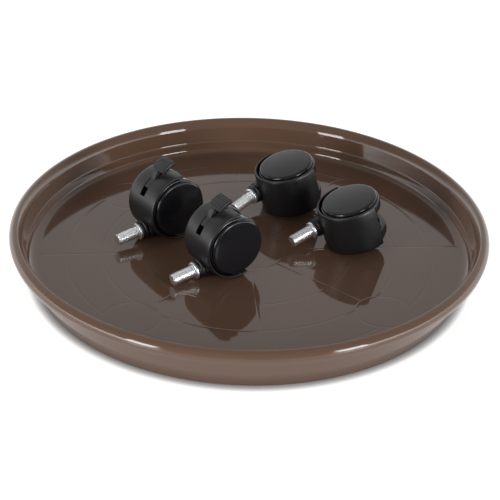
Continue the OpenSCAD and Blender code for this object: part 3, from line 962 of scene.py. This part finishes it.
def cut_lever():
    tab_low, tab_high = TAB_MIDDLE - TAB_HALF, TAB_MIDDLE + TAB_HALF
    outer = arc(22.8, 47.2, 18.8, 8)
    inner = arc(20.9, 66, -18.8, 8)
    lever = cut_sheet("lever", outer + inner, -STRIP, STRIP)
    plate = cut_sheet("lever_plate", [
        polar(21.4, 53), polar(22.7, 60), polar(22.9, 65), *TAB_TOP[:2], *TAB_UNDER[5:],
        polar(20.6, 71), polar(PIVOT_FAR, 70), PIVOT, polar(PIVOT_FAR + 0.6, 51)], -STRIP, STRIP)
    combine(lever, plate, "UNION")
    tab = cut_sheet("lever_tab", TAB_TOP[1:] + TAB_UNDER[:6], tab_low, tab_high)
    combine(lever, soften_edges(tab, 0.55, 35, 4), "UNION")
    combine(lever, pin_at("lever_eye", 3, STRIP, PIVOT), "UNION")
    arm = cut_sheet("lever_arm", [
        beside(PIVOT, -1.2, 2.6), beside(BAR_AT, -0.9, 1.8),
        beside(BAR_AT, 0.9, -1.8), beside(PIVOT, 1.2, -2.6)], -STRIP, STRIP)
    combine(lever, arm, "UNION")
    combine(lever, pin_at("lever_foot", 2, STRIP, BAR_AT), "UNION")
    combine(lever, pin_at("pin_hole", PIN_HOLE, 3, PIVOT), "DIFFERENCE")
    combine(lever, pin_at("bar_hole", BAR_HOLE, 3, BAR_AT), "DIFFERENCE")
    for i in range(GRIP_RIBS):
        spot = along_tab(0.26 + 0.7 * i / (GRIP_RIBS - 1))
        rib = plug("grip_rib", RIB_RADIUS, tab_low + RIB_INSET, tab_high - RIB_INSET, 16)
        combine(lever, set_down(rib, at(*spot)), "UNION")
    return lever


lever_pattern = cut_lever()
report(lever_pattern)
for letter in WITH_BRAKE:
    lever = set_down(copy_of(lever_pattern, f"thumb_lever_{letter}"), lie[letter] @ STAND_UP)
    finish_off(lever, f"lever_{letter}", "lever", 40)
    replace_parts(lever, f"lever_{letter}")
bpy.data.objects.remove(lever_pattern)

# %% [markdown]
# ## Which piece has which finish
#
# The model's own record says which slot each node belongs to, but its names say
# it just as well. Each imported mesh gets one material in its first slot.

# %% Dress the carried-over pieces
SLOT_OF = {
    "tray": "dish", "inserts": "insert", "hood": "hood", "axle": "steel", "bush": "bush",
    "stem": "zinc", "clip": "spring", "wheel": "wheel", "tread": "tread", "hub": "bush",
    "lever_pin": "steel", "lever": "lever", "brake_bar": "steel", "brake_pads": "pad",
}


def slot_of(name):
    fits = [k for k in SLOT_OF if name == k or name.startswith(k + "_")]
    return SLOT_OF[max(fits, key=len)]


for name, piece in nodes.items():
    piece.data.materials.clear()
    piece.data.materials.append(finishes[slot_of(name)])
print("dressed", len(nodes), "nodes")

# %% [markdown]
# ## Studio
#
# The dish stands on a white table in front of a white backdrop, with a darker
# room behind the camera. The table sheds light as plain white. Seen directly or
# in a mirror, it is a darker satin sheet with a glow. The glow fades where
# something stands close by. That fade is painted shade, and it draws the thin
# dark line under the foot of the dish.

# %% Table
TABLE_RADIUS = 6
TABLE_GLOW = 0.86
SHADE_REACH, SHADE_POWER = 0.006, 2.2


def seen_directly(graph):
    ray = graph.nodes.new("ShaderNodeLightPath")
    seen = maths(graph, "MAXIMUM", ray.outputs["Is Camera Ray"], ray.outputs["Is Glossy Ray"])
    return maths(graph, "MAXIMUM", seen, ray.outputs["Is Transmission Ray"])


def white_table():
    bpy.ops.mesh.primitive_circle_add(
        vertices=96, radius=TABLE_RADIUS, fill_type="NGON", location=(0, 0, 0))
    table = bpy.context.object
    table.name = "table"
    material = bpy.data.materials.new("table_white")
    material.use_nodes = True
    graph = material.node_tree
    shader = graph.nodes["Principled BSDF"]
    shader.inputs["Base Color"].default_value = (0.8, 0.8, 0.8, 1)
    shader.inputs["Roughness"].default_value = 0.5
    satin = graph.nodes.new("ShaderNodeBsdfPrincipled")
    satin.inputs["Base Color"].default_value = (0.3, 0.3, 0.3, 1)
    satin.inputs["Roughness"].default_value = 0.3
    satin.inputs["Specular IOR Level"].default_value = 0.4
    glow = graph.nodes.new("ShaderNodeEmission")
    glow.inputs["Color"].default_value = (1, 1, 1, 1)
    # Painted shade: ambient occlusion dims the glow near the dish, so the camera and mirrors see a
    # dark line under its foot.
    near = graph.nodes.new("ShaderNodeAmbientOcclusion")
    near.inputs["Distance"].default_value = SHADE_REACH
    clear_of_painted_shade = maths(graph, "POWER", near.outputs["AO"], SHADE_POWER)
    join(graph, maths(graph, "MULTIPLY", clear_of_painted_shade, TABLE_GLOW), glow.inputs["Strength"])
    both = graph.nodes.new("ShaderNodeAddShader")
    pick = graph.nodes.new("ShaderNodeMixShader")
    join(graph, satin.outputs[0], both.inputs[0])
    join(graph, glow.outputs[0], both.inputs[1])
    join(graph, seen_directly(graph), pick.inputs[0])
    join(graph, shader.outputs[0], pick.inputs[1])
    join(graph, both.outputs[0], pick.inputs[2])
    join(graph, pick.outputs[0], graph.nodes["Material Output"].inputs["Surface"])
    table.data.materials.append(material)
    print("table seen at", TABLE_GLOW, "shading within mm", SHADE_REACH / MM)


white_table()

# %% [markdown]
# Glossy plastic shows its surroundings as in a mirror, so the room is painted
# on the world by direction: white behind, dimmer at the sides, and dim overhead
# and in front. A low bright strip begins at each lamp and fades towards the
# back, and it gives the long thin highlights on the rim. What the camera sees
# directly is plain white. Mirrors see the room no brighter than it lights the
# dish. A lamp is far brighter, so from low behind, where the floor of the dish
# mirrors one, the floor burns out.

# %% Room painted by direction
ROOM_DARK, ROOM_WHITE = 0.32, 1.0
ROOM_FROM, ROOM_TO = 0.20, 0.95
SIDE_LEAN, UP_LEAN = 0.18, -0.12
STRIP_STRENGTH = 13
STRIP_FROM, STRIP_LAMP, STRIP_FULL = math.radians(34), math.radians(45), math.radians(46)
STRIP_FADE = 1.7
STRIP_HEIGHT, STRIP_NARROW = 0.13, 8.5


def studio_room():
    world = bpy.data.worlds.new("studio_room")
    bpy.context.scene.world = world
    world.use_nodes = True
    graph = world.node_tree
    graph.nodes.clear()
    place = graph.nodes.new("ShaderNodeTexCoord")
    parts = graph.nodes.new("ShaderNodeSeparateXYZ")
    join(graph, place.outputs["Generated"], parts.inputs[0])
    sideways = maths(graph, "ABSOLUTE", parts.outputs["X"])
    lean = maths(graph, "MULTIPLY_ADD", sideways, SIDE_LEAN, parts.outputs["Y"])
    lean = maths(graph, "MULTIPLY_ADD", parts.outputs["Z"], UP_LEAN, lean)
    ramp = rescale(graph, lean, ROOM_FROM, ROOM_TO, ROOM_DARK, ROOM_WHITE)
    turn = maths(graph, "ARCTAN2", sideways, maths(graph, "MULTIPLY", parts.outputs["Y"], -1))
    begins = rescale(graph, turn, STRIP_FROM, STRIP_FULL, kind="SMOOTHSTEP")
    past_lamp = maths(graph, "MULTIPLY_ADD", turn, -STRIP_FADE, STRIP_FADE * STRIP_LAMP)
    ends = maths(graph, "EXPONENT", past_lamp)
    off = maths(graph, "SUBTRACT", parts.outputs["Z"], STRIP_HEIGHT)
    off = maths(graph, "MULTIPLY", off, STRIP_NARROW)
    low = maths(graph, "MULTIPLY", maths(graph, "MULTIPLY", off, off), -1)
    low = maths(graph, "EXPONENT", low)
    strip = maths(graph, "MULTIPLY", maths(graph, "MULTIPLY", begins, ends), low)
    room = maths(graph, "MULTIPLY_ADD", strip, STRIP_STRENGTH, ramp)
    ray = graph.nodes.new("ShaderNodeLightPath")
    level = maths(graph, "MAXIMUM", room, ray.outputs["Is Camera Ray"])
    white = graph.nodes.new("ShaderNodeBackground")
    white.inputs["Color"].default_value = (1, 1, 1, 1)
    out = graph.nodes.new("ShaderNodeOutputWorld")
    join(graph, level, white.inputs["Strength"])
    join(graph, white.outputs[0], out.inputs["Surface"])
    print("room from", ROOM_DARK, "in front to", ROOM_WHITE, "behind")


studio_room()

# %% [markdown]
# Two softboxes stand low in front, left and right of the camera. So walls that
# face the front are well lit, the flat floor less, and both softboxes draw
# bright lines along the rolled rim and the edges of the wheels.

# %% Softboxes
SOFTBOX_ASIDE, SOFTBOX_AHEAD, SOFTBOX_UP = 0.87, -0.90, 0.42
SOFTBOX_WIDTH, SOFTBOX_HEIGHT = 0.30, 0.42
SOFTBOX_WATTS = 5
AIM = Vector((0, 0, 0.02))


def softbox(name, side):
    light = bpy.data.lights.new(name, "AREA")
    light.shape = "RECTANGLE"
    light.size = SOFTBOX_WIDTH
    light.size_y = SOFTBOX_HEIGHT
    light.energy = SOFTBOX_WATTS
    box = bpy.data.objects.new(name, light)
    box.location = (side * SOFTBOX_ASIDE, SOFTBOX_AHEAD, SOFTBOX_UP)
    box.rotation_mode = "QUATERNION"
    box.rotation_quaternion = (AIM - box.location).to_track_quat("-Z", "Y")
    bpy.context.scene.collection.objects.link(box)


softbox("softbox_left", -1)
softbox("softbox_right", 1)
bpy.context.scene.view_settings.view_transform = "Standard"
lamps = [thing.name for thing in bpy.context.scene.objects if thing.type == "LIGHT"]
print("studio lights:", lamps)
